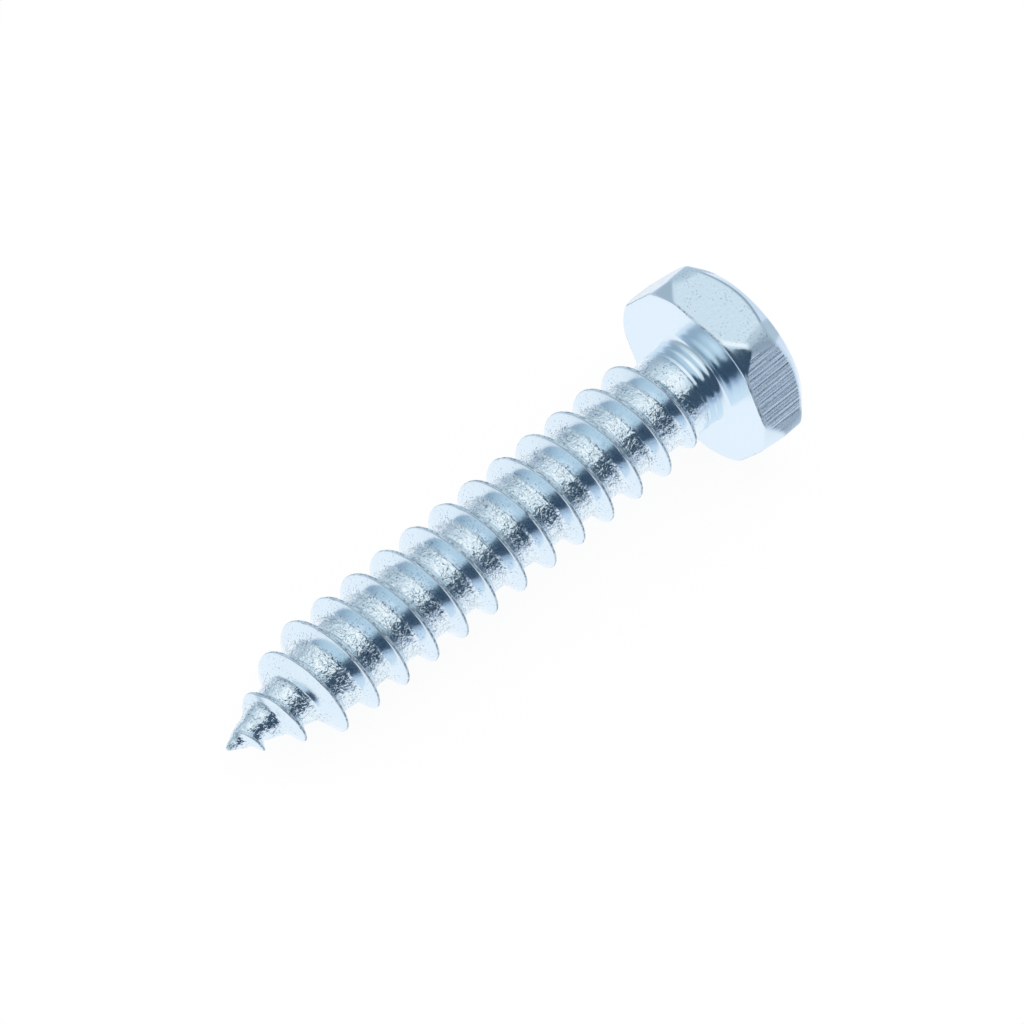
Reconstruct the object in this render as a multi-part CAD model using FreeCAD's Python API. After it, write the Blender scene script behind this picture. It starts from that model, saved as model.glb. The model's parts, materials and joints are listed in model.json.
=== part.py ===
import FreeCAD, Part
import math
import os

from FreeCAD import Placement, Rotation, Vector

# A sheet metal screw with a hex head, one solid piece of steel, lying as it comes to rest.
# Sizes are in millimetres. The thread is the standard 4.8 mm tapping screw thread, and
# the other sizes are read off the photograph against that thread's pitch.
# The screw is built standing on its axis, with the face under the head at height 0, the
# point at the top and the head below, and is laid down at the end.

# Shank, with lengths measured along the axis from the face under the head
length_under_head = 25.5
root_diameter = 3.5
neck_diameter = 3.8
neck_length = 1.3
neck_taper_length = 0.9
neck_fillet = 0.3
point_angle = 36.0
tip_diameter = 0.24

# Thread, with one start and right hand
major_diameter = 4.8
pitch = 1.6
crest_width = 0.1
flank_angle = 60.0
crest_start_angle = -93.0
runout_start = 1.1
runout_turns = 1.0
point_crest_angle = 47.0
point_crest_length = 4.5
point_start_gap = 0.35
point_start_turns = 0.5

# Hex head
across_flats = 7.85
head_height = 2.6
hex_edge_rounding = 0.4
bearing_diameter = 8.2
underside_bevel_angle = 63.0
top_circle_diameter = 7.2
top_chamfer_angle = 45.0

# How closely the ridge's curved edges are followed, and how deep its foot is sunk
stations_per_turn = 12
ridge_sink = 0.3

# How closely the resting tilt is found
contact_steps_per_turn = 120
widest_tilt_angle = 30.0
tilt_halvings = 40

# Values worked out from the sizes above
AXIS = Vector(0, 0, 1)
CENTRE = Vector(0, 0, 0)
FULL_TURN_ANGLE = 360
QUARTER_TURN_ANGLE = 90
HEX_SIDES = 6
root_radius = root_diameter / 2
neck_radius = neck_diameter / 2
major_radius = major_diameter / 2
bearing_radius = bearing_diameter / 2
top_circle_radius = top_circle_diameter / 2
flat_distance = across_flats / 2
corner_distance = flat_distance / math.cos(math.pi / HEX_SIDES)
tip_radius = tip_diameter / 2
point_slope = math.tan(math.radians(point_angle / 2))
point_base = length_under_head - (root_radius - tip_radius) / point_slope
head_middle = -head_height / 2


def profile_point(radius, height):
    """A corner of a turned outline, in the plane of the axis."""
    return Vector(radius, 0, height)


def turned(edges):
    """Solid of revolution about the axis from the closed outline that the edges make."""
    return Part.Face(Part.Wire(edges)).revolve(CENTRE, AXIS, FULL_TURN_ANGLE)


def shank():
    """The bare shank: fillet under the head, neck, taper, root cylinder and blunt point."""
    diagonal = math.sin(math.radians(QUARTER_TURN_ANGLE / 2))
    fillet_radius = neck_radius + neck_fillet
    fillet_foot = profile_point(fillet_radius, 0)
    fillet_middle = profile_point(fillet_radius - neck_fillet * diagonal, neck_fillet * (1 - diagonal))
    fillet_top = profile_point(neck_radius, neck_fillet)
    outline = [
        fillet_top,
        profile_point(neck_radius, neck_length),
        profile_point(root_radius, neck_length + neck_taper_length),
        profile_point(root_radius, point_base),
        profile_point(tip_radius, length_under_head),
        profile_point(0, length_under_head),
        profile_point(0, head_middle),
        profile_point(fillet_radius, head_middle),
        fillet_foot,
    ]
    fillet = Part.Arc(fillet_foot, fillet_middle, fillet_top).toNurbs()
    return turned(Part.makePolygon(outline).Edges + [fillet.toShape()])


def core_radius(height):
    """Radius under the thread, along the root cylinder and the point."""
    on_point = tip_radius + (length_under_head - height) * point_slope
    return min(root_radius, on_point)


def full_crest_radius(height):
    """Radius of the crest away from its two ends: level, then falling along the point."""
    below_full = height - (length_under_head - point_crest_length)
    on_point = major_radius - below_full * math.tan(math.radians(point_crest_angle / 2))
    return min(major_radius, on_point)


class Ridge:
    """The thread's ridge, followed by a running count of turns from the face under the head."""

    first = runout_start / pitch
    last = (length_under_head - point_start_gap) / pitch

    def angle(self, turn):
        return math.radians(crest_start_angle) + turn * 2 * math.pi

    def foot(self, turn):
        """Radius of the ridge's foot, out of sight inside the shank."""
        return core_radius(turn * pitch) * (1 - ridge_sink / root_radius)

    def crest(self, turn):
        """Radius of the crest, which sinks into the shank at both ends of the thread."""
        sunk = (self.foot(turn) + core_radius(turn * pitch)) / 2
        runout = min(1.0, (turn - self.first) / runout_turns)
        start = min(1.0, (self.last - turn) / point_start_turns)
        share = math.sin(math.pi / 2 * runout) * math.sin(math.pi / 2 * start)
        return sunk + (full_crest_radius(turn * pitch) - sunk) * share

    def point(self, turn, radius, side):
        """A point on the ridge's flank at a radius, side -1 to the head and 1 to the point."""
        slope = math.tan(math.radians(flank_angle / 2))
        spread = crest_width / 2 + (self.crest(turn) - radius) * slope
        angle = self.angle(turn)
        return Vector(radius * math.cos(angle), radius * math.sin(angle), turn * pitch + side * spread)

    def edge(self, turns, radius_at, side):
        """A helical edge through the given turns."""
        line = Part.BSplineCurve()
        points = [self.point(turn, radius_at(turn), side) for turn in turns]
        line.interpolate(Points=points, Parameters=turns)
        return line.toShape()

    def section(self, turns):
        """The four edges of one length of ridge: foot, crest, crest and foot."""
        return [
            self.edge(turns, self.foot, -1),
            self.edge(turns, self.crest, -1),
            self.edge(turns, self.crest, 1),
            self.edge(turns, self.foot, 1),
        ]

    def solid(self):
        """The whole ridge, its sides made a turn at a time."""
        lengths = math.ceil(self.last - self.first)
        span = (self.last - self.first) / lengths
        faces = []
        sections = []
        for number in range(lengths):
            start = self.first + number * span
            turns = [start + span * step / stations_per_turn for step in range(stations_per_turn + 1)]
            edges = self.section(turns)
            sections.append(edges)
            for near, far in zip(edges, edges[1:] + edges[:1]):
                faces.append(Part.makeRuledSurface(near, far))
        for edges, end in ((sections[0], 0), (sections[-1], -1)):
            corners = [edge.Vertexes[end].Point for edge in edges]
            faces.append(Part.Face(Part.makePolygon(corners + corners[:1])))
        shell = Part.makeShell(faces)
        shell.sewShape()
        return Part.makeSolid(shell)


def hex_head():
    """The head: a hexagon with rounded edges, bevelled under its corners and chamfered on top."""
    corners = []
    for number in range(HEX_SIDES + 1):
        angle = 2 * math.pi * number / HEX_SIDES
        across, up = corner_distance * math.cos(angle), corner_distance * math.sin(angle)
        corners.append(Vector(across, up, -head_height))
    prism = Part.Face(Part.makePolygon(corners)).extrude(Vector(0, 0, head_height))
    upright = [edge for edge in prism.Edges if edge.BoundBox.ZLength > head_height / 2]
    prism = prism.makeFillet(hex_edge_rounding, upright)
    bevel_drop = (corner_distance - bearing_radius) * math.tan(math.radians(underside_bevel_angle))
    chamfer_drop = (corner_distance - top_circle_radius) * math.tan(math.radians(top_chamfer_angle))
    outline = [
        profile_point(0, 0),
        profile_point(bearing_radius, 0),
        profile_point(corner_distance, -bevel_drop),
        profile_point(corner_distance, chamfer_drop - head_height),
        profile_point(top_circle_radius, -head_height),
        profile_point(0, -head_height),
    ]
    blank = turned(Part.makePolygon(outline + outline[:1]).Edges)
    return prism.common(blank)


def resting_tilt(ridge):
    """Angle in degrees by which the point hangs below level, on a flat's edge and a crest."""
    steps = math.ceil((ridge.last - ridge.first) * contact_steps_per_turn)
    turns = [ridge.first + (ridge.last - ridge.first) * step / steps for step in range(steps + 1)]
    crest_points = [ridge.point(turn, ridge.crest(turn), 1) for turn in turns]
    low, high = 0.0, math.radians(widest_tilt_angle)
    for halving in range(tilt_halvings):
        tilt = (low + high) / 2
        head_drop = flat_distance * math.cos(tilt)
        thread_drop = max(p.z * math.sin(tilt) - p.y * math.cos(tilt) for p in crest_points)
        if thread_drop < head_drop:
            low = tilt
        else:
            high = tilt
    return math.degrees(low)


def laid_down(tilt):
    """Turns the standing screw to lie on its side: point to -X, a flat of the head underneath."""
    lie = Rotation(Vector(0, 1, 0), -QUARTER_TURN_ANGLE)
    turn_flat_down = Rotation(Vector(1, 0, 0), QUARTER_TURN_ANGLE)
    lower_point = Rotation(Vector(0, 1, 0), -tilt)
    return lower_point * turn_flat_down * lie


os.makedirs("parts", exist_ok=True)
thread = Ridge()
screw = hex_head().fuse([shank(), thread.solid()])
tilt = resting_tilt(thread)
screw.Placement = Placement(CENTRE, laid_down(tilt))
box = screw.optimalBoundingBox(False)
to_ground = Vector(-box.Center.x, -box.Center.y, -box.ZMin)
screw.translate(to_ground)
screw.exportStep("parts/tapping_screw.step")

print("solids", len(screw.Solids), "valid", screw.isValid(), "volume", round(screw.Volume, 3))
print("size", [round(side, 3) for side in (box.XLength, box.YLength, box.ZLength)])
print("point hangs down by", round(tilt, 3), "degrees")
print("centre of the face under the head", [round(value, 4) for value in to_ground])
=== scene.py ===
# %% [markdown]
# # A hex head sheet metal screw
# This lesson dresses a packed CAD model of a zinc plated tapping screw. The real screw is
# pressed and rolled from one length of wire, so the whole screw is one piece here as well.
# The CAD model fixes its place, its sizes and the way it lies on the bench. This script
# makes a finer mesh of the same shape. It then gives the mesh its plating and its marks, and
# sets up the light that bright metal needs, because a mirror shows what stands round it.

# %% Load the packed screw
import json
import math

import bmesh
import bpy
from mathutils import Matrix, Vector, noise


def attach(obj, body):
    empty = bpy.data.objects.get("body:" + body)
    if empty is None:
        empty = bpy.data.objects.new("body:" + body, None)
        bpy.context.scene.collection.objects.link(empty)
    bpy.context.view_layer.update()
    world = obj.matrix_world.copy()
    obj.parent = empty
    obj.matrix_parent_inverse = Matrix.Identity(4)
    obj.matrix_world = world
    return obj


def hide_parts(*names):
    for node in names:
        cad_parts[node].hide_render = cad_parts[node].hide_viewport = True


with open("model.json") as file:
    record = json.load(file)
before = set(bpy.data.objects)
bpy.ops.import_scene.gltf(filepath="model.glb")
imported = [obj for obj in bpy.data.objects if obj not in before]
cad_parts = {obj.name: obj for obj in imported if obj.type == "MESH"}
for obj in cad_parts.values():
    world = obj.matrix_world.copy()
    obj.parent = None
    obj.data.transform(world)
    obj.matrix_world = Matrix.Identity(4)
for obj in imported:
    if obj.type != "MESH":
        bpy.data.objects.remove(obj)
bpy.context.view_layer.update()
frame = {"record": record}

# %% [markdown]
# ## The sizes of the screw
# A maker knows this screw by a few numbers: the thread's diameter and pitch, the width
# across the flats and the length under the head. They are the sizes of the CAD source,
# written once more in millimetres. The screw is modelled standing on its axis, with the
# face under the head at height 0, the point above it and the head below it. That way every
# turned or rolled shape has the Z axis as its own axis.

# %% Sizes in millimetres
MM = 0.001
length_under_head = 25.5
root_radius = 1.75
neck_radius = 1.9
neck_length = 1.3
neck_taper_length = 0.9
neck_fillet = 0.3
point_slope = math.tan(math.radians(18.0))
tip_radius = 0.12

major_radius = 2.4
pitch = 1.6
crest_half_width = 0.05
flank_slope = math.tan(math.radians(30.0))
crest_start_angle = math.radians(-93.0)
runout_start = 1.1
point_crest_slope = math.tan(math.radians(23.5))
point_crest_length = 4.5
point_start_gap = 0.35
point_start_turns = 0.5
ridge_sink = 0.3

flat_distance = 3.925
head_height = 2.6
hex_edge_rounding = 0.4
bearing_radius = 4.1
underside_bevel_slope = math.tan(math.radians(63.0))
top_circle_radius = 3.6
corner_distance = flat_distance / math.cos(math.pi / 6)
print("across flats", 2 * flat_distance, "corner to corner", round(2 * corner_distance, 3))

# %% [markdown]
# ## Where the screw lies
# A screw that is put down rolls onto one flat of its head and onto the thread's last full
# crest, so its axis points slightly downwards. Nothing is fitted by eye here: the packed
# record gives the plane of the face under the head and the line of the axis. Where the
# line meets the plane is the origin of the standing model.

# %% The resting place, from the packed record
mounts = {mount["name"]: mount for mount in frame["record"]["mounts"]}
screw_axis = Vector(mounts["bearing_face"]["axis"]).normalized()
on_face = Vector(mounts["bearing_face"]["pos_m"])
on_axis = Vector(mounts["thread"]["pos_m"])
face_centre = on_axis + screw_axis * (on_face - on_axis).dot(screw_axis)
sideways = Vector((0, -1, 0))
upwards = screw_axis.cross(sideways)
turned_down = Matrix((sideways, upwards, screw_axis)).transposed().to_4x4()
resting_place = Matrix.Translation(face_centre) @ turned_down @ Matrix.Scale(MM, 4)
print("centre of the face under the head", [round(value, 6) for value in face_centre])

# %% [markdown]
# ## The camera
# The photograph is taken with a long lens from the point's side, well above the bench. The
# camera's place was found by fitting the thread's crests and the head's outline, and is
# given as a place, a line to the right and a line down. A lens of 238 mm on a full frame
# keeps both ends of the screw at almost the same scale, as a product photograph does.

# %% Camera
LENS_MM, FULL_FRAME_MM = 238.143, 36.0
NEAREST_SEEN = 0.01
camera_place = Vector((-117.900, -103.317, 222.595)) * MM
camera_right = Vector((0.72126, -0.68944, 0.06682)).normalized()
camera_down = Vector((-0.53364, -0.61458, -0.58096)).normalized()
camera_back = camera_right.cross(-camera_down)
camera_data = bpy.data.cameras.new("camera")
camera_data.lens = LENS_MM
camera_data.sensor_width = FULL_FRAME_MM
camera_data.clip_start = NEAREST_SEEN
camera = bpy.data.objects.new("camera", camera_data)
bpy.context.scene.collection.objects.link(camera)
axes = Matrix((camera_right, -camera_down, camera_back)).transposed().to_4x4()
camera.matrix_world = Matrix.Translation(camera_place) @ axes
bpy.context.scene.camera = camera
print("camera looks along", [round(-value, 3) for value in camera_back])

# %% [markdown]
# ## Soft joins between surfaces
# Rolled and pressed steel has no knife edges: a flank runs into the root and into the crest
# in a small radius. Bevelling a thread's edges would be slow, and it tears where the thread
# runs out. So two helpers blend two radii instead, one for outside corners and one for
# inside corners. They are used wherever two surfaces of the screw meet.

# %% Blending helpers
def softer_min(first, second, width):
    """The smaller of two radii, with a soft change from one to the other."""
    overlap = max(width - abs(first - second), 0.0) / width
    return min(first, second) - overlap * overlap * width / 4


def softer_max(first, second, width):
    """The larger of two radii, with a soft change from one to the other."""
    return -softer_min(-first, -second, width)


def between(value, low, high):
    """How far a value lies from low to high, eased, from 0 to 1."""
    share = min(1.0, max(0.0, (value - low) / (high - low)))
    return share * share * (3 - 2 * share)


print("halfway is", between(0.5, 0.0, 1.0), "and a soft corner takes off", -softer_min(0.0, 0.0, 1.0))

# %% [markdown]
# ## The core of the shank
# The core is what is left under the thread: the neck, its taper, the straight root and the
# cone of the point. It could be turned as a shape of its own, but thread and core are one
# piece of steel. So it is written as a radius for each height along the axis. Near the end
# the core is a little fuller, where the dies pinched the point off the wire.

# %% Radius of the core
SMALLEST_RADIUS = 0.02
CONE_BLEND = 0.08
PINCH_START, PINCH_END = (22.2, 23.2), (24.9, 25.4)
PINCH_FULLNESS = 0.08


def cone_radius(height):
    return tip_radius + (length_under_head - height) * point_slope


def core_radius(height):
    """Bare shank: the neck, its taper, the root and the cone of the point."""
    neck_share = 1 - min(1.0, max(0.0, (height - neck_length) / neck_taper_length))
    straight = root_radius + (neck_radius - root_radius) * neck_share
    bare = max(softer_min(straight, cone_radius(height), CONE_BLEND), SMALLEST_RADIUS)
    return bare + PINCH_FULLNESS * between(height, *PINCH_START) * (1 - between(height, *PINCH_END))


print("core radius at the neck", core_radius(neck_length), "and at the root", core_radius(10.0))

# %% [markdown]
# ## The crest and the flanks
# A tapping screw's thread is rolled between two dies, which squeeze the wire at the root and
# push it up into the crest. The ridge rises out of the neck over one turn, stays level, and
# comes down along the point. All of this is one rule: for a count of turns it gives the
# crest's radius, and for an offset from the crest it gives the radius of the surface. On one
# side of the point the dies didn't quite fill the crest, so it is lower there.

# %% Radius of the crest and of the thread's surface
CREST_BLEND, FOOT_BLEND, POINT_CREST_BLEND = 0.06, 0.07, 0.1
LOW_CREST_START, LOW_CREST_END = (14.25, 14.5), (14.8, 15.0)
LOW_CREST_DEPTH = 0.13
thread_first = runout_start / pitch
thread_last = (length_under_head - point_start_gap) / pitch


def crest_radius(turn):
    """The crest, which sinks into the shank at both ends of the thread."""
    height = turn * pitch
    sunk = min(root_radius, cone_radius(height)) * (1 - ridge_sink / root_radius / 2)
    below_full = height - (length_under_head - point_crest_length)
    on_point = major_radius - below_full * point_crest_slope
    full = softer_min(major_radius, on_point, POINT_CREST_BLEND)
    runout = min(1.0, max(0.0, turn - thread_first))
    start = min(1.0, max(0.0, (thread_last - turn) / point_start_turns))
    share = math.sin(math.pi / 2 * runout) * math.sin(math.pi / 2 * start)
    low = between(turn, *LOW_CREST_START) * (1 - between(turn, *LOW_CREST_END))
    return sunk + (full - sunk) * share - LOW_CREST_DEPTH * low


def thread_surface(crest, offset, height):
    """Radius of the surface at an offset along the axis from the crest."""
    flank = crest - (abs(offset) - crest_half_width) / flank_slope
    ridge = softer_min(crest, flank, CREST_BLEND)
    return softer_max(core_radius(height), ridge, FOOT_BLEND)


print("crest radius in the middle", crest_radius(8.0), "and on the point", round(crest_radius(14.0), 2))

# %% [markdown]
# ## The thread as one swept sheet
# A helix could be made with a Screw modifier, but then the crest could neither rise nor
# sink. Here one pitch of the thread's outline is drawn with a few points and spun one turn
# about the axis with a step along it. Copies of that turn, each moved along the axis, make
# the rest, because spinning all the turns at once would take minutes. The lower edge of
# each turn lies on the upper edge of the turn before, so merging the doubles makes one
# sheet, whose points then get their radius.

# %% One pitch of outline, spun into a turn and repeated
STEPS_PER_TURN = 144
FIRST_TURN, TURNS = -1, 18
OUTLINE_PARTS = ((0.09, 4), (0.40, 5), (0.52, 3), (pitch / 2, 3))
MERGE_DISTANCE = 1e-4
SHARP_DISTANCE = MERGE_DISTANCE / 10


def half_outline():
    """Offsets from the crest: over the crest, down the flank, round the foot, along the root."""
    offsets = [0.0]
    for end, steps in OUTLINE_PARTS:
        start = offsets[-1]
        offsets += [start + (end - start) * step / steps for step in range(1, steps + 1)]
    return offsets


def one_turn():
    """One pitch of the outline, spun a full turn with a rise of one pitch."""
    turn = bmesh.new()
    place = Matrix.Rotation(crest_start_angle, 4, "Z") @ Matrix.Translation((major_radius, 0, 0))
    points = [turn.verts.new((0, 0, offset)) for offset in half_outline()]
    for near, far in zip(points, points[1:]):
        turn.edges.new((near, far))
    bmesh.ops.mirror(turn, geom=turn.verts[:] + turn.edges[:], axis="Z", merge_dist=SHARP_DISTANCE)
    bmesh.ops.transform(turn, matrix=place, verts=turn.verts)
    bmesh.ops.spin(
        turn, geom=turn.verts[:] + turn.edges[:], cent=(0, 0, 0), axis=(0, 0, 1),
        dvec=(0, 0, pitch / STEPS_PER_TURN), angle=2 * math.pi, steps=STEPS_PER_TURN,
        use_merge=False, use_duplicate=False,
    )
    return turn


def swept_thread():
    """Copies of the turn, one above the other, merged into one sheet."""
    sheet = one_turn()
    original = sheet.verts[:] + sheet.edges[:] + sheet.faces[:]
    bmesh.ops.translate(sheet, vec=(0, 0, FIRST_TURN * pitch), verts=sheet.verts)
    for number in range(1, TURNS):
        copy = bmesh.ops.duplicate(sheet, geom=original)["geom"]
        verts = [part for part in copy if isinstance(part, bmesh.types.BMVert)]
        bmesh.ops.translate(sheet, vec=(0, 0, number * pitch), verts=verts)
    bmesh.ops.remove_doubles(sheet, verts=sheet.verts, dist=MERGE_DISTANCE)
    return sheet


thread_sheet = swept_thread()
print("thread sheet", len(thread_sheet.verts), "points", len(thread_sheet.faces), "faces")

# %% [markdown]
# ## Marks of the rolling dies
# Real dies leave marks. The root is uneven, the point has low ridges where the steel was
# folded, and the crests have shallow wear and a few nicks. Blender's noise function gives
# such marks the same way each time, because it has no random seed. Crests are only ever
# lowered, so that the screw keeps its size.

# %% Depth of the marks, in millimetres
ROOT_UNEVENNESS, ROOT_WAVES_PER_MM = 0.018, 2.6
ROOT_LUMPS_SHARE, ROOT_LUMPS_PER_MM = 0.6, 5.5
POINT_RIDGES, POINT_RIDGES_PER_MM, POINT_RIDGE_ZONE = 0.06, 4.5, (22.5, 23.5)
CHANGE_ROUND_POINT = 0.6
CREST_WEAR, CREST_WEAR_PER_MM, WEAR_PLACE = 0.03, 1.7, Vector((7, 3, 5))
NICK_DEPTH, NICKS_PER_MM, NICK_EDGE = 0.06, 3.1, (0.42, 0.6)
neck_join_height = 1.0
NECK_MARKS_ZONE = (0.8, 2.7)


def root_marks(place):
    """Long waves of the root with lumps on them."""
    lumps = noise.noise(place * ROOT_LUMPS_PER_MM)
    return ROOT_UNEVENNESS * (noise.noise(place * ROOT_WAVES_PER_MM) + ROOT_LUMPS_SHARE * lumps)


def point_ridges(place):
    """Low ridges round the point, where the dies folded the steel."""
    around = Vector((place.x, place.y, 0)).normalized() * CHANGE_ROUND_POINT
    ridge = noise.noise(around + Vector((0, 0, place.z * POINT_RIDGES_PER_MM)))
    return POINT_RIDGES * ridge * between(place.z, *POINT_RIDGE_ZONE)


def crest_wear(place):
    """Worn stretches and nicks. The wear's noise is read elsewhere, so that they don't match."""
    wear = max(0.0, noise.noise(place * CREST_WEAR_PER_MM + WEAR_PLACE))
    return CREST_WEAR * wear + NICK_DEPTH * between(noise.noise(place * NICKS_PER_MM), *NICK_EDGE)


def neck_fade(height):
    """The dies touch the neck less and less towards the head."""
    return between(height, *NECK_MARKS_ZONE)


print("share of the marks on the neck", round(neck_fade(neck_length), 2))

# %% [markdown]
# ## Rolling the sheet to its radii
# Each point knows where it is from its own angle and height: the angle gives the part of a
# turn, and the height picks the turn whose crest is nearest. While the points are moved,
# each one is also told which zone it lies in, as an attribute. The finish reads these
# attributes later, so that a root looks rough and a flank stays smooth. The point's root
# counts as less rough, because the ridges there already break up the light.

# %% Radii, marks and zones of the thread
ROOT_ZONE, CREST_ZONE, TALL_CREST = (0.02, 0.12), (0.002, 0.035), (0.1, 0.3)
SPECK_ZONE, SPECKS_ON_FLANK = (0.1, 0.5), 0.3
THREAD_ZONES = ("root_share", "crest_share", "speck_share")
CALM_POINT, CALM_SHARE = (22.4, 23.4), 0.45


def nearest_turn(point):
    share = (math.atan2(point.y, point.x) - crest_start_angle) / (2 * math.pi)
    return share + round(point.z / pitch - share)


def crest_zone(radius, crest, core):
    """1 on the crest, 0 on the flanks, and 0 where the thread is hardly raised yet."""
    below_crest = crest - radius
    return (1 - between(below_crest, *CREST_ZONE)) * between(crest - core, *TALL_CREST)


def roll_thread(sheet):
    layers = {name: sheet.verts.layers.float.new(name) for name in THREAD_ZONES}
    for vert in sheet.verts:
        height = vert.co.z
        turn = nearest_turn(vert.co)
        crest, core = crest_radius(turn), core_radius(height)
        radius = thread_surface(crest, height - turn * pitch, height)
        outwards = Vector((vert.co.x, vert.co.y, 0)).normalized()
        place = outwards * radius + Vector((0, 0, height))
        on_root = neck_fade(height) * (1 - between(radius - core, *ROOT_ZONE))
        on_root *= 1 - CALM_SHARE * between(height, *CALM_POINT)
        on_crest = crest_zone(radius, crest, core)
        radius += on_root * root_marks(place) + point_ridges(place) - on_crest * crest_wear(place)
        vert.co = outwards * max(radius, SMALLEST_RADIUS) + Vector((0, 0, height))
        vert[layers["root_share"]] = on_root
        vert[layers["crest_share"]] = on_crest
        vert[layers["speck_share"]] = 1 - (1 - SPECKS_ON_FLANK) * between(radius - core, *SPECK_ZONE)


roll_thread(thread_sheet)
print("rolled to a root of", root_radius, "and a crest of", major_radius)

# %% [markdown]
# ## Trimming the sheet
# The sheet runs past both ends of the shank. Two flat cuts across the axis trim it: one on
# the plain neck, where the turned head will be joined on, and one at the point. The small
# opening left at the point is drawn in twice and closed, which makes a blunt, slightly
# rounded tip, as on a real point that has been pinched off.

# %% Cuts at the neck and at the point
TIP_TRIM = 0.06
TIP_CUT = length_under_head - TIP_TRIM
TIP_RINGS = ((0.75, 0.04), (0.35, 0.02))
RIM_SLACK = 1e-3


def trim(mesh, height, towards):
    bmesh.ops.bisect_plane(
        mesh, geom=mesh.verts[:] + mesh.edges[:] + mesh.faces[:], dist=SHARP_DISTANCE,
        plane_co=(0, 0, height), plane_no=(0, 0, towards), clear_outer=True,
    )


def rim(mesh, height):
    """The open edges at a height."""
    return [
        edge for edge in mesh.edges
        if edge.is_boundary and all(abs(vert.co.z - height) < RIM_SLACK for vert in edge.verts)
    ]


def close_tip(mesh):
    edges = rim(mesh, TIP_CUT)
    for scale, rise in TIP_RINGS:
        ring = bmesh.ops.extrude_edge_only(mesh, edges=edges)["geom"]
        verts = [part for part in ring if isinstance(part, bmesh.types.BMVert)]
        edges = [part for part in ring if isinstance(part, bmesh.types.BMEdge)]
        bmesh.ops.scale(mesh, vec=(scale, scale, 1), verts=verts)
        bmesh.ops.translate(mesh, vec=(0, 0, rise), verts=verts)
    bmesh.ops.contextual_create(mesh, geom=edges)


trim(thread_sheet, neck_join_height, -1)
trim(thread_sheet, TIP_CUT, 1)
close_tip(thread_sheet)
print("thread trimmed", len(thread_sheet.faces), "faces")

# %% [markdown]
# ## The turned blank of the head
# The head starts as a turned blank: the plain neck, the fillet under the head, the flat
# bearing face, the bevel under the corners, the rounded corners, the chamfer on top and the
# flat top. Its outline is drawn once and spun a full turn. The outline is cut into short
# steps where the head's edges will be, because these edges are bent in afterwards. Fine
# rings on the neck show where the steel was squeezed under the head.

# %% Helpers for an outline
RING_DEPTH, RINGS_PER_MM, RINGS_PLACE = 0.024, 6.5, (2.0, 0.5)
RINGS_START, RINGS_END = (0.05, 0.2), (0.8, 1.0)


def stepped(corners, step):
    """The points of a line through the corners, with no step longer than the one asked for."""
    points = [Vector(corners[0])]
    for near, far in zip(corners, corners[1:]):
        near, far = Vector(near), Vector(far)
        count = max(1, math.ceil((far - near).length / step))
        points += [near.lerp(far, number / count) for number in range(1, count + 1)]
    return points


def bend(near, corner, far, count):
    """Points of a soft bend from one point to another round a corner."""
    near, corner, far = Vector(near), Vector(corner), Vector(far)
    shares = [number / count for number in range(count + 1)]
    return [near.lerp(corner, share).lerp(corner.lerp(far, share), share) for share in shares]


def ring_marks(height):
    mark = noise.noise(Vector((height * RINGS_PER_MM, *RINGS_PLACE)))
    return RING_DEPTH * mark * between(height, *RINGS_START) * (1 - between(height, *RINGS_END))


print("middle of a bend round a corner", bend((0, 0), (1, 0), (1, 1), 2)[1][:])

# %% [markdown]
# ## Drawing and spinning the outline
# The outline's corners come from the sizes above. The edge of the bearing face and the edge
# of the top are bends and not corners, because the press leaves both a little round.

# %% Outline of the blank, and one full spin
HEAD_STEPS = 336
NECK_STEP, FACE_STEP, RING_STEP, TOP_STEP = 0.04, 0.3, 0.075, 0.4
EDGE_ON_FACE, EDGE_ON_SLOPE, FINER_WITHIN = 0.06, 0.048, 0.24
FILLET_REACH = 1.1 * neck_fillet
FILLET_STEPS, EDGE_STEPS = 6, 3


def blank_outline():
    bevel_drop = (corner_distance - bearing_radius) * underside_bevel_slope
    chamfer_drop = corner_distance - top_circle_radius
    on_face = (bearing_radius - EDGE_ON_FACE, 0)
    on_top = (top_circle_radius - EDGE_ON_FACE, -head_height)
    on_bevel = (bearing_radius + EDGE_ON_SLOPE, -EDGE_ON_SLOPE * underside_bevel_slope)
    on_chamfer = (top_circle_radius + EDGE_ON_SLOPE, EDGE_ON_SLOPE - head_height)
    fillet_top, fillet_foot = (neck_radius, FILLET_REACH), (neck_radius + FILLET_REACH, 0)
    finer = (flat_distance - FINER_WITHIN, 0)
    parts = (
        stepped([(neck_radius, neck_join_height), fillet_top], NECK_STEP),
        bend(fillet_top, (neck_radius, 0), fillet_foot, FILLET_STEPS),
        stepped([fillet_foot, finer], FACE_STEP),
        stepped([finer, on_face], RING_STEP),
        bend(on_face, (bearing_radius, 0), on_bevel, EDGE_STEPS),
        stepped([on_bevel, (corner_distance, -bevel_drop),
                 (corner_distance, chamfer_drop - head_height), on_chamfer], RING_STEP),
        bend(on_chamfer, (top_circle_radius, -head_height), on_top, EDGE_STEPS),
        stepped([on_top, (0, -head_height)], TOP_STEP),
    )
    points = [point for part in parts for point in part]
    for point in points:
        point.x -= ring_marks(point.y)
    return points


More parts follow.
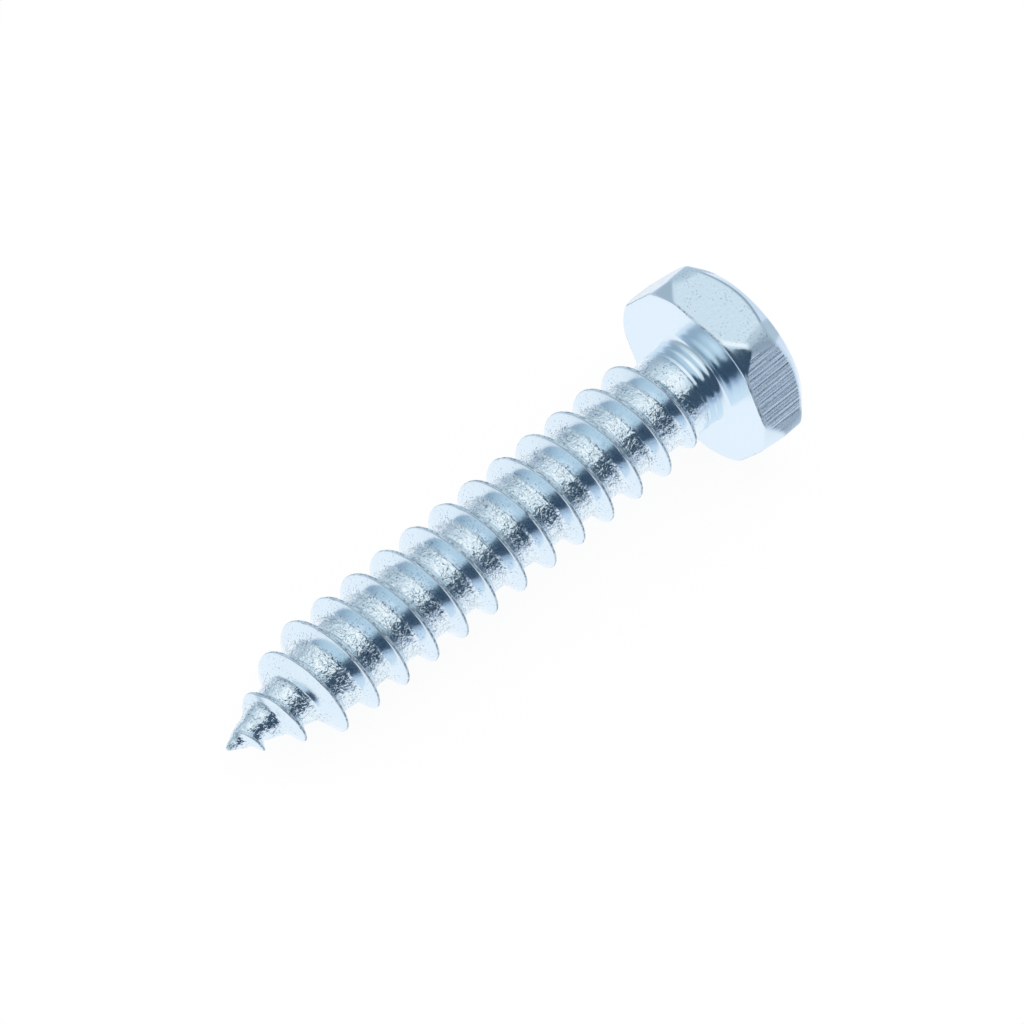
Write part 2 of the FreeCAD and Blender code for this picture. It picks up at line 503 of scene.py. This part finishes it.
def turned_blank():
    blank = bmesh.new()
    points = [blank.verts.new((point.x, 0, point.y)) for point in blank_outline()]
    for near, far in zip(points, points[1:]):
        blank.edges.new((near, far))
    bmesh.ops.remove_doubles(blank, verts=blank.verts, dist=MERGE_DISTANCE)
    bmesh.ops.spin(
        blank, geom=blank.verts[:] + blank.edges[:], cent=(0, 0, 0), axis=(0, 0, 1),
        angle=2 * math.pi, steps=HEAD_STEPS, use_merge=True, use_duplicate=False,
    )
    bmesh.ops.remove_doubles(blank, verts=blank.verts, dist=MERGE_DISTANCE)
    return blank


head = turned_blank()
print("turned blank", len(head.verts), "points", len(head.faces), "faces")

# %% [markdown]
# ## The rounded hexagon
# On the real screw a die trims the round head to a hexagon. Cutting the blank with six
# planes would leave knife edges, and bevelling edges that meet at such sharp angles tears
# them. So the flats are pressed in instead: a point outside the hexagon moves in to it. For
# that the hexagon is written as a distance from the axis for each angle, with an arc at
# each corner.

# %% Distance of the hexagon from the axis
SIXTH = math.pi / 3


def from_corner(angle):
    """Angle to the nearest corner. The corners are at multiples of a sixth of a turn."""
    return abs((angle + SIXTH / 2) % SIXTH - SIXTH / 2)


def hexagon_radius(angle, rounding):
    """Distance of a hexagon with rounded corners from the axis."""
    aside = from_corner(angle)
    centre = corner_distance - rounding / math.cos(SIXTH / 2)
    arc_end = (centre + rounding * math.cos(SIXTH / 2), rounding * math.sin(SIXTH / 2))
    if aside >= math.atan2(arc_end[1], arc_end[0]):
        return flat_distance / math.cos(SIXTH / 2 - aside)
    return centre * math.cos(aside) + math.sqrt(rounding ** 2 - (centre * math.sin(aside)) ** 2)


print("a corner is cut back by", round(corner_distance - hexagon_radius(0.0, hex_edge_rounding), 3))

# %% [markdown]
# ## Pressing the flats
# Near an edge the two surfaces blend, and the corners are rounder at the top than under the
# head, because the metal flows into the die from below. The flats also get their zones: how
# strongly each one was scored by the trimming die, how worn its corners are, and where the
# small specks in the plating lie. The bearing face has hardly any. The die's lines scrape
# most of a flat's skin away, and leave a thin burr along the edge under the head, which
# looks as dull as the thread's crest and so shares its zone.

# %% The hexagon's flats and their zones
HEAD_ZONES = THREAD_ZONES + ("flat_share", "die_marks", "corner_share")
FLAT_MARKS = (1.0, 0.15, 0.7, 0.9, 0.5, 0.8)
TOWARDS_TOP, EXTRA_ROUNDING = (0.6, 1.8), 0.45
FLAT_BLEND, EXTRA_BLEND, FLAT_ZONE = 0.05, 0.06, (0.0, 0.1)
SKIN_LEFT_BY_LINES = 0.3
CORNER_START, CORNER_END, CORNER_BELOW = (0.05, 0.08), (0.10, 0.15), (0.6, 0.9)
TOP_ZONE, TOP_SKIN = (head_height - 0.3, head_height - 0.02), 0.6
FACE_SPECKS, FLAT_SPECKS, TOP_SPECKS = 0.05, 0.5, 0.45
PRESSED_FROM = flat_distance - 0.3
BURR_ZONE, BURR_BELOW = (-0.03, 0.0), (0.06, 0.18)


def mixed_number(share, low, high):
    """The number that lies a share of the way from low to high."""
    return low + (high - low) * share


def hexagon_at(angle, depth):
    """Distance of the hexagon from the axis, rounder at its corners towards the top."""
    rounding = hex_edge_rounding + EXTRA_ROUNDING * between(depth, *TOWARDS_TOP)
    return hexagon_radius(angle, rounding)


def corner_share(angle, depth):
    """How worn the head is near a corner. The band is wider towards the top."""
    share = between(depth, *TOWARDS_TOP)
    start, end = (mixed_number(share, *width) for width in (CORNER_START, CORNER_END))
    return (1 - between(from_corner(angle), start, end)) * between(depth, *CORNER_BELOW)


def head_zones(radius, angle, depth):
    """A point's share in each zone. Its depth is counted from the face under the head."""
    beyond_flat = radius - hexagon_at(angle, depth)
    on_flat, on_top = between(beyond_flat, *FLAT_ZONE), between(depth, *TOP_ZONE)
    scored = FLAT_MARKS[int(angle // SIXTH)]
    skin = mixed_number(scored, 1.0, SKIN_LEFT_BY_LINES)
    return {
        "root_share": neck_fade(-depth),
        "crest_share": between(beyond_flat, *BURR_ZONE) * (1 - between(depth, *BURR_BELOW)),
        "speck_share": max(FACE_SPECKS, FLAT_SPECKS * on_flat, TOP_SPECKS * on_top),
        "flat_share": max(on_flat * skin, TOP_SKIN * on_top),
        "die_marks": on_flat * scored,
        "corner_share": corner_share(angle, depth) if radius > PRESSED_FROM else 0.0,
    }


def press_flats(mesh):
    layers = {name: mesh.verts.layers.float.new(name) for name in HEAD_ZONES}
    for vert in mesh.verts:
        radius, depth = math.hypot(vert.co.x, vert.co.y), -vert.co.z
        angle = math.atan2(vert.co.y, vert.co.x) % (2 * math.pi)
        for name, share in head_zones(radius, angle, depth).items():
            vert[layers[name]] = share
        if radius > PRESSED_FROM:
            blend = FLAT_BLEND + EXTRA_BLEND * between(depth, *TOWARDS_TOP)
            pressed = softer_min(radius, hexagon_at(angle, depth), blend)
            vert.co.x *= pressed / radius
            vert.co.y *= pressed / radius


press_flats(head)
print("flats pressed to", flat_distance, "from the axis")

# %% [markdown]
# ## One piece of steel
# The head and the thread are joined where both are the same plain round neck. Their rims
# have different counts of points, which Bridge Loops fills with a ring of triangles and
# quads. Then the standing screw is laid down with the matrix found above.

# %% Join, lay down and make the object
def joined(thread, top):
    """The thread with the head joined on at the neck."""
    head_mesh = bpy.data.meshes.new("head_part")
    top.to_mesh(head_mesh)
    thread.from_mesh(head_mesh)
    bpy.data.meshes.remove(head_mesh)
    bmesh.ops.bridge_loops(thread, edges=rim(thread, neck_join_height))
    bmesh.ops.recalc_face_normals(thread, faces=thread.faces)
    return thread


screw_bmesh = joined(thread_sheet, head)
open_edges = sum(1 for edge in screw_bmesh.edges if not edge.is_manifold)
bmesh.ops.transform(screw_bmesh, matrix=resting_place, verts=screw_bmesh.verts)
screw_mesh = bpy.data.meshes.new("plated_screw")
screw_bmesh.to_mesh(screw_mesh)
screw_mesh.shade_smooth()
screw = bpy.data.objects.new("plated_screw", screw_mesh)
bpy.context.scene.collection.objects.link(screw)
print("screw", len(screw_mesh.polygons), "faces,", open_edges, "open edges")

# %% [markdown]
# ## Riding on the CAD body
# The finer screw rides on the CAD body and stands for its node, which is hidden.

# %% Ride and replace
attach(screw, "root")
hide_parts("tapping_screw")
print("the screw stands for the node tapping_screw")

# %% [markdown]
# ## A recipe for node materials
# A finish is a chain of small nodes. Linking each of them by hand takes many lines and hides
# what the finish is made of. This helper adds one node, fills in its sockets and links
# those that come from other nodes, so that a material reads like a recipe.

# %% Recipe helper
class Recipe:
    """Adds nodes to a material or a world and links them as it goes."""

    def __init__(self, owner):
        owner.use_nodes = True
        self.tree = owner.node_tree

    def add(self, kind, inputs, **settings):
        node = self.tree.nodes.new("ShaderNode" + kind)
        for name, value in settings.items():
            setattr(node, name, value)
        for name, value in inputs.items():
            self.fill(node.inputs[name], value)
        return node.outputs

    def fill(self, socket, value):
        """Links a node's output into a socket, or sets the socket to a number or a colour."""
        if isinstance(value, bpy.types.NodeSocket):
            self.tree.links.new(value, socket)
        elif socket.type == "RGBA":
            socket.default_value = (*value, 1)
        else:
            socket.default_value = value

    def math(self, operation, first, second):
        return self.add("Math", {0: first, 1: second}, operation=operation)[0]

    def vector(self, operation, inputs, output="Vector"):
        return self.add("VectorMath", inputs, operation=operation)[output]

    def weighted(self, parts):
        """The sum of values, each with its own weight."""
        total = 0.0
        for value, weight in parts:
            total = self.add("Math", {0: value, 1: weight, 2: total}, operation="MULTIPLY_ADD")[0]
        return total

    def mask(self, name):
        return self.add("Attribute", {}, attribute_name=name)["Fac"]

    def mixed(self, share, first, second):
        """A mix of two colours, whose sockets on the node are the inputs 6 and 7 and the output 2."""
        return self.add("Mix", {0: share, 6: first, 7: second}, data_type="RGBA")[2]

    def ramp(self, value, start, end, out=(0.0, 1.0)):
        """An eased change from one value to another, while the first one goes from start to end."""
        inputs = {0: value, 1: start, 2: end, 3: out[0], 4: out[1]}
        return self.add("MapRange", inputs, interpolation_type="SMOOTHSTEP")[0]

    def noise(self, place, per_mm, detail=1.5, roughness=0.5, distortion=0.0):
        inputs = {"Vector": place, "Scale": per_mm, "Detail": detail,
                  "Roughness": roughness, "Distortion": distortion}
        return self.add("TexNoise", inputs)["Fac"]


print("recipe steps", [name for name in vars(Recipe) if not name.startswith("_")])

# %% [markdown]
# ## Places on the screw
# The noise has to follow the screw and not the bench. So the object coordinates are turned
# back to the standing screw and counted in millimetres. Two more places stretch the noise.
# One runs along the axis, for the lines of the trimming die. The other runs round the axis,
# for marks of the rolling dies, and it counts height and radius together, so that these
# marks keep their width on the root and on the steep flanks alike.

# %% Places for the noise
AROUND_STRETCH = 0.4
ALONG_STRETCH = (1.0, 1.0, 0.015)


def standing_place(recipe):
    """The place on the standing screw, in millimetres."""
    inputs = {
        "Vector": recipe.add("TexCoord", {})["Object"], "Location": face_centre,
        "Rotation": turned_down.to_euler(), "Scale": (MM, MM, MM),
    }
    return recipe.add("Mapping", inputs, vector_type="TEXTURE")[0]


def trimmed_place(recipe, place):
    """A place that hardly changes along the axis."""
    return recipe.add("Mapping", {"Vector": place, "Scale": ALONG_STRETCH})[0]


def rolled_place(recipe, place):
    """A place that changes slowly round the axis, and fast across the thread."""
    parts = recipe.add("SeparateXYZ", {0: place})
    off_axis = recipe.add("CombineXYZ", {"X": parts["X"], "Y": parts["Y"]})[0]
    radius = recipe.vector("LENGTH", {0: off_axis}, "Value")
    direction = recipe.vector("NORMALIZE", {0: off_axis})
    around = recipe.vector("SCALE", {0: direction, "Scale": AROUND_STRETCH})
    across = recipe.add("CombineXYZ", {"Z": recipe.math("ADD", radius, parts["Z"])})[0]
    return recipe.vector("ADD", {0: around, 1: across})


print("die lines are", round(ALONG_STRETCH[0] / ALONG_STRETCH[2]), "times longer than wide")

# %% [markdown]
# ## Heights of the marks
# The rolling dies polish the flanks, but leave flakes and crumbs of steel in the root. The
# flats carry the lines of the trimming die over an orange peel skin. A picture of such marks
# would repeat and blur, so each kind is a noise with a height in millimetres. The mesh's
# attributes keep the strong ones to their zones, and only a fine grain and faint streaks go
# over everything. The heights are added up into one bump, because several bumps one after
# another would each blur the next.

# %% Heights in millimetres
GRAIN_NOISE = {"per_mm": 9.0, "detail": 3.0, "roughness": 0.6}
STREAKS_NOISE = {"per_mm": 8.5, "distortion": 0.3}
CRUMBS_NOISE = {"per_mm": 6.2, "distortion": 0.6}
DIE_LINES_NOISE = {"per_mm": 7.0, "detail": 3.0, "roughness": 0.7}
PEEL_NOISE = {"per_mm": 4.5, "detail": 4.0, "roughness": 0.65, "distortion": 0.5}
GRAIN_HEIGHT, STREAKS_HEIGHT, CRUMBS_HEIGHT = 0.0006, 0.001, 0.025
FLAKES, FLAKE_HEIGHT = (0.46, 0.62), 0.012
CHIPS, CHIP_HEIGHT = (0.50, 0.64), 0.011
DIE_LINE_HEIGHT, PEEL_HEIGHT = 0.036, 0.012


def marks(recipe, place):
    """The noises that the bump and the dull spots are made from."""
    return {
        "grain": recipe.noise(place, **GRAIN_NOISE),
        "streaks": recipe.noise(rolled_place(recipe, place), **STREAKS_NOISE),
        "crumbs": recipe.noise(place, **CRUMBS_NOISE),
        "die_lines": recipe.noise(trimmed_place(recipe, place), **DIE_LINES_NOISE),
        "peel": recipe.noise(place, **PEEL_NOISE),
    }


def marks_height(recipe, noises):
    """The sum of all marks in millimetres, the strong ones each in its own zone."""
    root_height = recipe.weighted((
        (recipe.ramp(noises["streaks"], *FLAKES), FLAKE_HEIGHT),
        (recipe.ramp(noises["crumbs"], *CHIPS), CHIP_HEIGHT),
        (noises["crumbs"], CRUMBS_HEIGHT),
    ))
    scored = recipe.math("MULTIPLY", recipe.mask("die_marks"), noises["die_lines"])
    peeled = recipe.math("MULTIPLY", recipe.mask("flat_share"), noises["peel"])
    return recipe.weighted((
        (recipe.math("MULTIPLY", recipe.mask("root_share"), root_height), 1.0),
        (scored, DIE_LINE_HEIGHT), (peeled, PEEL_HEIGHT),
        (noises["grain"], GRAIN_HEIGHT), (noises["streaks"], STREAKS_HEIGHT),
    ))


root_marks_height = CRUMBS_HEIGHT + CHIP_HEIGHT + FLAKE_HEIGHT
print("marks in the root up to", round(root_marks_height, 3), "mm, die lines up to", DIE_LINE_HEIGHT)

# %% [markdown]
# ## Dull spots, painted shade in the root and the seam
# Where dirt or a scale was rolled in, the plating stays dull. On the real screw these are
# small specks that lie in groups, and a thin dark seam on the crest, where the steel was pushed
# together last. Short dark lines in the root are painted shade in its crease lines. All of these
# darken the colour, but don't change the shape. All three end in one share that says how dark
# the zinc is at each place.

# %% Share of dull zinc and painted shade
SPECKS_NOISE, SPECKS = {"per_mm": 11.0, "detail": 2.0}, (0.58, 0.68)
GROUPS_NOISE = {"per_mm": 1.3, "detail": 2.0}
GROUPS, GROUP_SHARES = (0.40, 0.58), (0.1, 1.0)
# The width and the darkness of the painted shade in the root's crease lines.
NOISE_MIDDLE, CREASE_SHADE_WIDTH, CREASE_SHADE_STRENGTH = 0.5, 0.015, 0.8
GAPS_NOISE = {"per_mm": 6.0, "detail": 3.0, "roughness": 0.6}
SEAM_GAPS, SEAM_SHARES, SEAM_CORE = (0.44, 0.60), (0.0, 0.7), (0.75, 1.0)


def dull_and_shade_share(recipe, place, noises):
    """Specks in groups, painted shade along crease lines in the root, and the seam on the crest, from 0
    to 1.
    """
    speck_noise = recipe.noise(place, **SPECKS_NOISE)
    group_noise = recipe.noise(place, **GROUPS_NOISE)
    groups = recipe.ramp(group_noise, *GROUPS, out=GROUP_SHARES)
    groups = recipe.math("MULTIPLY", groups, recipe.mask("speck_share"))
    specks = recipe.math("MULTIPLY", recipe.ramp(speck_noise, *SPECKS), groups)

    # Painted shade: thin dark lines along the root, in the colour only.
    off_middle = recipe.math("SUBTRACT", noises["streaks"], NOISE_MIDDLE)
    off_middle = recipe.math("ABSOLUTE", off_middle, 0.0)
    painted_crease_shade = recipe.ramp(off_middle, 0.0, CREASE_SHADE_WIDTH, out=(CREASE_SHADE_STRENGTH, 0.0))
    painted_crease_shade = recipe.math("MULTIPLY", painted_crease_shade, recipe.mask("root_share"))
    painted_crease_shade = recipe.math("MULTIPLY", painted_crease_shade, groups)

    gap_noise = recipe.noise(place, **GAPS_NOISE)
    seam = recipe.ramp(gap_noise, *SEAM_GAPS, out=SEAM_SHARES)
    seam = recipe.math("MULTIPLY", seam, recipe.ramp(recipe.mask("crest_share"), *SEAM_CORE))
    return recipe.math("MAXIMUM", recipe.math("MAXIMUM", specks, painted_crease_shade), seam)


print("a seam is dull by", SEAM_SHARES[0], "to", SEAM_SHARES[1])

# %% [markdown]
# ## Bright zinc
# Zinc plating on rolled steel mirrors its surroundings, a little blurred and a little blue.
# It is a metal, so its colour is the colour of its reflections. A painted grey would look
# flat from every side. Root and crest, which nothing polished, keep a paler fresh zinc. The
# reflections are sharp on the polished flanks, and more blurred in the root, on the crests,
# on the scored flats and on the worn corners.

# %% The finish
ZINC, FRESH_ZINC = (0.755, 0.865, 0.945), (0.83, 0.925, 0.98)
# Dark zinc for the dull specks and the seam, and for the painted shade in the root.
DULL_AND_SHADED_ZINC = (0.24, 0.31, 0.40)
GRAIN_RANGE, PLAIN_ROUGHNESS = (0.3, 0.7), (0.13, 0.19)
ROOT_ROUGHNESS, CREST_ROUGHNESS = 0.04, 0.55
SCORED_ROUGHNESS, CORNER_ROUGHNESS = 0.1, 0.5


def zinc_material():
    material = bpy.data.materials.new("bright_zinc")
    recipe = Recipe(material)
    place = standing_place(recipe)
    noises = marks(recipe, place)
    roughness = recipe.weighted((
        (recipe.ramp(noises["grain"], *GRAIN_RANGE, out=PLAIN_ROUGHNESS), 1.0),
        (recipe.mask("root_share"), ROOT_ROUGHNESS), (recipe.mask("crest_share"), CREST_ROUGHNESS),
        (recipe.mask("die_marks"), SCORED_ROUGHNESS), (recipe.mask("corner_share"), CORNER_ROUGHNESS),
    ))
    bump_inputs = {"Height": marks_height(recipe, noises), "Distance": MM, "Strength": 1.0}
    fresh = recipe.math("MAXIMUM", recipe.mask("root_share"), recipe.mask("crest_share"))
    colour = recipe.mixed(fresh, ZINC, FRESH_ZINC)
    # Darker where the zinc is dull, and where shade is painted in the root.
    colour = recipe.mixed(dull_and_shade_share(recipe, place, noises), colour, DULL_AND_SHADED_ZINC)
    shader = recipe.tree.nodes["Principled BSDF"].inputs
    recipe.fill(shader["Metallic"], 1.0)
    recipe.fill(shader["Base Color"], colour)
    recipe.fill(shader["Roughness"], roughness)
    recipe.fill(shader["Normal"], recipe.add("Bump", bump_inputs)["Normal"])
    return material


screw_mesh.materials.append(zinc_material())
print("attributes", [attribute.name for attribute in screw_mesh.attributes])

# %% [markdown]
# ## The studio
# A mirror shows its surroundings, so bright metal is lit by what stands round it. The screw
# lies on a white floor inside a pale tent, and a dark flag stands in front. Lamps alone
# would leave the metal black between their small reflections. Only reflections see the tent
# and the flag, so they never stand in the camera's way and take no light off the floor.

# %% Helpers for things of the studio
def glowing_material(name, colour):
    material = bpy.data.materials.new(name)
    recipe = Recipe(material)
    recipe.tree.nodes.clear()
    glow = recipe.add("Emission", {"Color": colour, "Strength": 1.0})[0]
    recipe.add("OutputMaterial", {"Surface": glow})
    return material


def stage_piece(name, shape, material):
    mesh = bpy.data.meshes.new(name)
    shape.to_mesh(mesh)
    mesh.materials.append(material)
    thing = bpy.data.objects.new(name, mesh)
    bpy.context.scene.collection.objects.link(thing)
    return thing


def only_reflected(thing):
    """Hides a thing from the camera and from matt surfaces, and takes away its shadow."""
    thing.visible_camera = thing.visible_diffuse = thing.visible_shadow = False


print("helpers for the tent, the flag and the floor are ready")

# %% [markdown]
# ## The tent
# The tent is a large sphere whose light grows from a dim blue grey at the bench to white
# overhead, and is a little lighter low at the back. An even tent makes the flanks that face
# the sides as pale as the ones that face up. On the photo those are a clear teal, so the
# light must come from above.

# %% Tent
LOW_SKY, LOW_BACK_SKY = (0.33, 0.40, 0.45), (0.42, 0.50, 0.57)
HIGH_SKY, ZENITH = (0.715, 0.795, 0.84), (1.0, 1.0, 1.0)
BACK_SKY_ZONE = (0.3, 0.8)
HIGH_FROM, ZENITH_FROM, ZENITH_FULL = 0.3, 0.84, 0.975
SKY_STRENGTH = 1.05
TENT_RADIUS, TENT_SIDES, TENT_BANDS = 0.8, 48, 24


def tent_material():
    material = bpy.data.materials.new("tent")
    recipe = Recipe(material)
    recipe.tree.nodes.clear()
    towards = recipe.vector("NORMALIZE", {0: recipe.add("TexCoord", {})["Object"]})
    parts = recipe.add("SeparateXYZ", {0: towards})
    back, up = parts["Y"], parts["Z"]
    low = recipe.mixed(recipe.ramp(back, *BACK_SKY_ZONE), LOW_SKY, LOW_BACK_SKY)
    sky = recipe.mixed(recipe.ramp(up, HIGH_FROM, ZENITH_FROM), low, HIGH_SKY)
    sky = recipe.mixed(recipe.ramp(up, ZENITH_FROM, ZENITH_FULL), sky, ZENITH)
    glow = recipe.add("Emission", {"Color": sky, "Strength": SKY_STRENGTH})[0]
    recipe.add("OutputMaterial", {"Surface": glow})
    return material


tent = bmesh.new()
bmesh.ops.create_uvsphere(tent, u_segments=TENT_SIDES, v_segments=TENT_BANDS, radius=TENT_RADIUS)
only_reflected(stage_piece("tent", tent, tent_material()))
print("tent", 2 * TENT_RADIUS, "m across")

# %% [markdown]
# ## The dark flag
# Photographers put a black card beside bright metal, to give it a dark line that shows its
# roundness. On the photo this line runs along the whole shank and over the head's flat. The
# card is bent round the screw. It is drawn as one upright edge and spun part of a turn.

# %% Flag
FLAG_COLOUR = (0.045, 0.08, 0.125)
FLAG_DISTANCE, FLAG_STEPS = 0.4, 32
FLAG_LOW, FLAG_HIGH = math.radians(-1), math.radians(49)
FLAG_START, FLAG_END = math.radians(-166), math.radians(-39)


def bent_card(low, high, start, end):
    """A card bent round the screw. Angle 0 is towards +X."""
    card = bmesh.new()
    heights = [FLAG_DISTANCE * math.tan(angle) for angle in (low, high)]
    corners = [card.verts.new((FLAG_DISTANCE, 0, height)) for height in heights]
    edge = card.edges.new(corners)
    turn = Matrix.Rotation(start, 3, "Z")
    bmesh.ops.rotate(card, verts=corners, cent=(0, 0, 0), matrix=turn)
    bmesh.ops.spin(
        card, geom=corners + [edge], cent=(0, 0, 0), axis=(0, 0, 1),
        angle=end - start, steps=FLAG_STEPS,
    )
    return card


flag = bent_card(FLAG_LOW, FLAG_HIGH, FLAG_START, FLAG_END)
only_reflected(stage_piece("front_flag", flag, glowing_material("dark_card", FLAG_COLOUR)))
print("flag", round(math.degrees(FLAG_END - FLAG_START)), "degrees wide")

# %% [markdown]
# ## The floor
# The photo's background is plain white, so the camera sees a nearly white floor that still
# keeps the screw's soft shadow. In the metal, the floor is white next to the screw and
# falls off in front, behind and past the head, as a lit tabletop does at its ends. Without
# that, the undersides would be as pale as the upper side.

# %% Floor
# The floor's glow in the metal: white near the screw, and painted shade in front, behind and past the
# head.
NEAR_FLOOR, FRONT_FLOOR = (0.95, 0.97, 1.0), (0.38, 0.45, 0.58)
BACK_FLOOR, END_FLOOR = (0.54, 0.60, 0.70), (0.70, 0.77, 0.88)
FRONT_ZONE, BACK_ZONE, END_ZONE = (0.002, 0.03), (0.006, 0.05), (0.014, 0.035)
FLOOR_STRENGTH, FLOOR_HALF_WIDTH = 1.05, 2.0
SEEN_WHITE, MATT_WHITE, WHITE = 0.92, (0.97, 0.98, 0.99), (1.0, 1.0, 1.0)


def floor_with_painted_falloff(recipe):
    """The floor as the metal shows it: white near the screw, with a painted falloff of light away from
    it.
    """
    place = recipe.add("SeparateXYZ", {0: recipe.add("TexCoord", {})["Object"]})
    to_front = recipe.math("MULTIPLY", place["Y"], -1.0)
    colour = recipe.mixed(recipe.ramp(to_front, *FRONT_ZONE), NEAR_FLOOR, FRONT_FLOOR)
    colour = recipe.mixed(recipe.ramp(place["Y"], *BACK_ZONE), colour, BACK_FLOOR)
    return recipe.mixed(recipe.ramp(place["X"], *END_ZONE), colour, END_FLOOR)


def floor_material():
    material = bpy.data.materials.new("pale_floor")
    recipe = Recipe(material)
    recipe.tree.nodes.clear()
    rays = recipe.add("LightPath", {})
    seen = recipe.math("MULTIPLY", rays["Is Camera Ray"], SEEN_WHITE)
    mirrored = recipe.math("MAXIMUM", rays["Is Glossy Ray"], rays["Is Transmission Ray"])
    matt = recipe.add("BsdfDiffuse", {"Color": MATT_WHITE})[0]
    white = recipe.add("Emission", {"Color": WHITE, "Strength": 1.0})[0]
    # Painted falloff of light: the floor glows darker in the metal away from the screw.
    glow = recipe.add("Emission", {"Color": floor_with_painted_falloff(recipe), "Strength": FLOOR_STRENGTH})[0]
    surface = recipe.add("MixShader", {0: seen, 1: matt, 2: white})[0]
    surface = recipe.add("MixShader", {0: mirrored, 1: surface, 2: glow})[0]
    recipe.add("OutputMaterial", {"Surface": surface})
    return material


floor = bmesh.new()
bmesh.ops.create_grid(floor, x_segments=1, y_segments=1, size=FLOOR_HALF_WIDTH)
stage_piece("floor", floor, floor_material())
print("the camera sees", SEEN_WHITE, "of the floor as white")

# %% [markdown]
# ## The world and the lamp
# A white world lights the floor evenly from all sides. One large weak softbox adds the
# soft contact shadow. Glossy rays don't see it, because the tent already stands for the
# light in the metal.

# %% World and lamp
LAMP_PLACE, LAMP_SIZE, LAMP_WATTS = (0.1, -0.05, 0.5), (0.35, 0.2), 0.25
world = bpy.data.worlds.new("studio")
bpy.context.scene.world = world
background = Recipe(world).tree.nodes["Background"].inputs
background["Color"].default_value = (*WHITE, 1)
background["Strength"].default_value = 1.0

lamp_data = bpy.data.lights.new("softbox", "AREA")
lamp_data.shape = "RECTANGLE"
lamp_data.size, lamp_data.size_y = LAMP_SIZE
lamp_data.energy = LAMP_WATTS
lamp = bpy.data.objects.new("softbox", lamp_data)
lamp.location = LAMP_PLACE
lamp.visible_glossy = False
bpy.context.scene.collection.objects.link(lamp)
print("softbox", LAMP_SIZE, "m")

# %% [markdown]
# ## View
# The Standard view shows each colour about as it is written.

# %% View
bpy.context.scene.view_settings.view_transform = "Standard"
